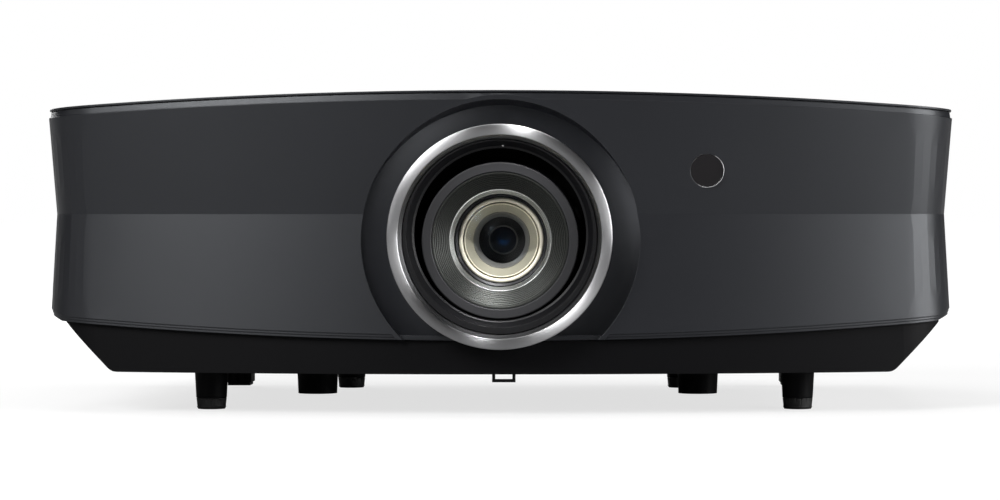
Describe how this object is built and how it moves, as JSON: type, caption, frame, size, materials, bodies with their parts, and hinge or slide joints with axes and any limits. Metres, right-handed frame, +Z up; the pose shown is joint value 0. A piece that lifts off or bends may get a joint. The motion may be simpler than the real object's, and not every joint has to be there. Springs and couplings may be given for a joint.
{
  "type": "home cinema projector",
  "caption": "Wide black home cinema projector: crowned top, creased front, ringed lens with shift, zoom and focus, screw feet, side vents, rear sockets and a keypad.",
  "frame": {"origin": "on the ground under the middle of the case, midway between the front of the trim ring and the rear posts", "axes": "+Z up, -Y the way the lens looks, +X to the right of someone who faces the lens"},
  "size_m": [0.4978, 0.3309, 0.1731],
  "materials": {
    "case_black": "fine satin texture",
    "deep_black": "satin black moulding",
    "foot_rubber": "matt",
    "trim_metal": "turned and polished",
    "window_black": "gloss, dark red-black",
    "steel": "plated",
    "sheet_metal": "folded sheet",
    "filter_frame": "satin",
    "lens_glass": "coated",
    "prism_glass": "polished",
    "gold_metal": "gold anodised",
    "cast_aluminium": "die cast",
    "mirror_metal": "polished",
    "board_green": "satin board lacquer",
    "button_grey": "satin"
  },
  "bodies": {
    "case": {"front_cover": "case_black", "top_cover": "case_black", "bottom_case": "deep_black", "side_cover_left": "case_black", "side_cover_right": "case_black", "rear_panel": "deep_black", "trim_ring": "trim_metal", "lens_shroud": "deep_black", "ir_window": "window_black", "security_bar": "steel", "dust_filter": "filter_frame", "case_screws": "steel", "chassis": "sheet_metal", "lens_frame": "sheet_metal", "guide_rods": "steel", "light_engine": "cast_aluminium", "prism": "prism_glass", "mirror_chip_board": "board_green", "chip_heatsink": "cast_aluminium", "wheel_motor": "steel", "laser_module": "cast_aluminium", "laser_heatsink": "cast_aluminium", "intake_fan": "deep_black", "exhaust_fan": "deep_black", "main_board": "board_green", "power_board": "board_green", "keypad_board": "board_green", "speakers": "deep_black", "signal_ports": "steel", "mains_inlet": "deep_black"},
    "front_left_stem": {"front_left_stem": "steel"},
    "front_left_foot": {"front_left_foot": "foot_rubber"},
    "front_right_stem": {"front_right_stem": "steel"},
    "front_right_foot": {"front_right_foot": "foot_rubber"},
    "rear_left_stem": {"rear_left_stem": "steel"},
    "rear_left_foot": {"rear_left_foot": "foot_rubber"},
    "rear_right_stem": {"rear_right_stem": "steel"},
    "rear_right_foot": {"rear_right_foot": "foot_rubber"},
    "lens": {"lens_carriage": "steel", "lens_barrel": "deep_black"},
    "focus_group": {"front_cell": "deep_black", "front_glass": "lens_glass", "gold_ring": "gold_metal", "inner_cell": "gold_metal", "inner_glass": "lens_glass"},
    "zoom_group": {"zoom_cell": "deep_black"},
    "shift_door": {"shift_door": "case_black"},
    "shift_dial": {"shift_dial": "deep_black"},
    "zoom_ring": {"zoom_ring": "deep_black"},
    "focus_ring": {"focus_ring": "case_black"},
    "phosphor_wheel": {"phosphor_wheel": "mirror_metal"},
    "intake_impeller": {"intake_impeller": "deep_black"},
    "exhaust_impeller": {"exhaust_impeller": "deep_black"},
    "power_button": {"power_button": "button_grey"},
    "menu_button": {"menu_button": "button_grey"},
    "up_button": {"up_button": "button_grey"},
    "down_button": {"down_button": "button_grey"},
    "left_button": {"left_button": "button_grey"},
    "right_button": {"right_button": "button_grey"},
    "enter_button": {"enter_button": "button_grey"}
  },
  "joints": [
    {"name": "front_left_travel", "type": "slide", "parent": "case", "child": "front_left_stem", "axis": [0, 0, -1], "range_m": [0, 0.012]},
    {"name": "front_left_turn", "type": "hinge", "parent": "front_left_stem", "child": "front_left_foot", "pos_m": [-0.1597, -0.083, 0.003], "axis": [0, 0, 1], "range_deg": [0, 3456]},
    {"name": "front_right_travel", "type": "slide", "parent": "case", "child": "front_right_stem", "axis": [0, 0, -1], "range_m": [0, 0.012]},
    {"name": "front_right_turn", "type": "hinge", "parent": "front_right_stem", "child": "front_right_foot", "pos_m": [0.1637, -0.083, 0.003], "axis": [0, 0, 1], "range_deg": [0, 3456]},
    {"name": "rear_left_travel", "type": "slide", "parent": "case", "child": "rear_left_stem", "axis": [0, 0, -1], "range_m": [0, 0.012]},
    {"name": "rear_left_turn", "type": "hinge", "parent": "rear_left_stem", "child": "rear_left_foot", "pos_m": [-0.1, 0.136, 0.003], "axis": [0, 0, 1], "range_deg": [0, 3456]},
    {"name": "rear_right_travel", "type": "slide", "parent": "case", "child": "rear_right_stem", "axis": [0, 0, -1], "range_m": [0, 0.012]},
    {"name": "rear_right_turn", "type": "hinge", "parent": "rear_right_stem", "child": "rear_right_foot", "pos_m": [0.104, 0.136, 0.003], "axis": [0, 0, 1], "range_deg": [0, 3456]},
    {"name": "lens_shift", "type": "slide", "parent": "case", "child": "lens", "axis": [0, 0, 1], "range_m": [0, 0.006]},
    {"name": "shift_dial_turn", "type": "hinge", "parent": "case", "child": "shift_dial", "pos_m": [0.002, -0.113, 0.16], "axis": [0, 0, 1], "range_deg": [0, 540]},
    {"name": "zoom_turn", "type": "hinge", "parent": "lens", "child": "zoom_ring", "pos_m": [0.002, -0.133, 0.0933], "axis": [0, -1, 0], "range_deg": [0, 110]},
    {"name": "zoom_travel", "type": "slide", "parent": "lens", "child": "zoom_group", "axis": [0, -1, 0], "range_m": [0, 0.01]},
    {"name": "focus_turn", "type": "hinge", "parent": "lens", "child": "focus_ring", "pos_m": [0.002, -0.149, 0.0933], "axis": [0, -1, 0], "range_deg": [0, 90]},
    {"name": "focus_travel", "type": "slide", "parent": "lens", "child": "focus_group", "axis": [0, -1, 0], "range_m": [0, 0.0025]},
    {"name": "door_hinge", "type": "hinge", "parent": "case", "child": "shift_door", "pos_m": [0.002, -0.0938, 0.17129], "axis": [-1, 0, 0], "range_deg": [0, 90]},
    {"name": "wheel_spin", "type": "hinge", "parent": "case", "child": "phosphor_wheel", "pos_m": [0.124, -0.0075, 0.0933], "axis": [1, 0, 0], "continuous": true},
    {"name": "intake_spin", "type": "hinge", "parent": "case", "child": "intake_impeller", "pos_m": [-0.198, 0.028, 0.079], "axis": [1, 0, 0], "continuous": true},
    {"name": "exhaust_spin", "type": "hinge", "parent": "case", "child": "exhaust_impeller", "pos_m": [0.176, 0.072, 0.079], "axis": [1, 0, 0], "continuous": true},
    {"name": "power_press", "type": "slide", "parent": "case", "child": "power_button", "axis": [0, -1, 0], "range_m": [0, 0.0008], "stiffness_N_per_m": 300},
    {"name": "menu_press", "type": "slide", "parent": "case", "child": "menu_button", "axis": [0, -1, 0], "range_m": [0, 0.0008], "stiffness_N_per_m": 300},
    {"name": "up_press", "type": "slide", "parent": "case", "child": "up_button", "axis": [0, -1, 0], "range_m": [0, 0.0008], "stiffness_N_per_m": 300},
    {"name": "down_press", "type": "slide", "parent": "case", "child": "down_button", "axis": [0, -1, 0], "range_m": [0, 0.0008], "stiffness_N_per_m": 300},
    {"name": "left_press", "type": "slide", "parent": "case", "child": "left_button", "axis": [0, -1, 0], "range_m": [0, 0.0008], "stiffness_N_per_m": 300},
    {"name": "right_press", "type": "slide", "parent": "case", "child": "right_button", "axis": [0, -1, 0], "range_m": [0, 0.0008], "stiffness_N_per_m": 300},
    {"name": "enter_press", "type": "slide", "parent": "case", "child": "enter_button", "axis": [0, -1, 0], "range_m": [0, 0.0008], "stiffness_N_per_m": 300}
  ],
  "couplings": [
    {"joint": "front_left_turn", "follows": "front_left_travel", "rad_per_m": 5026.5},
    {"joint": "front_right_turn", "follows": "front_right_travel", "rad_per_m": 5026.5},
    {"joint": "rear_left_turn", "follows": "rear_left_travel", "rad_per_m": 5026.5},
    {"joint": "rear_right_turn", "follows": "rear_right_travel", "rad_per_m": 5026.5},
    {"joint": "shift_dial_turn", "follows": "lens_shift", "rad_per_m": 1570.8},
    {"joint": "zoom_travel", "follows": "zoom_turn", "m_per_rad": 0.0052087},
    {"joint": "focus_travel", "follows": "focus_turn", "m_per_rad": 0.0015915}
  ]
}
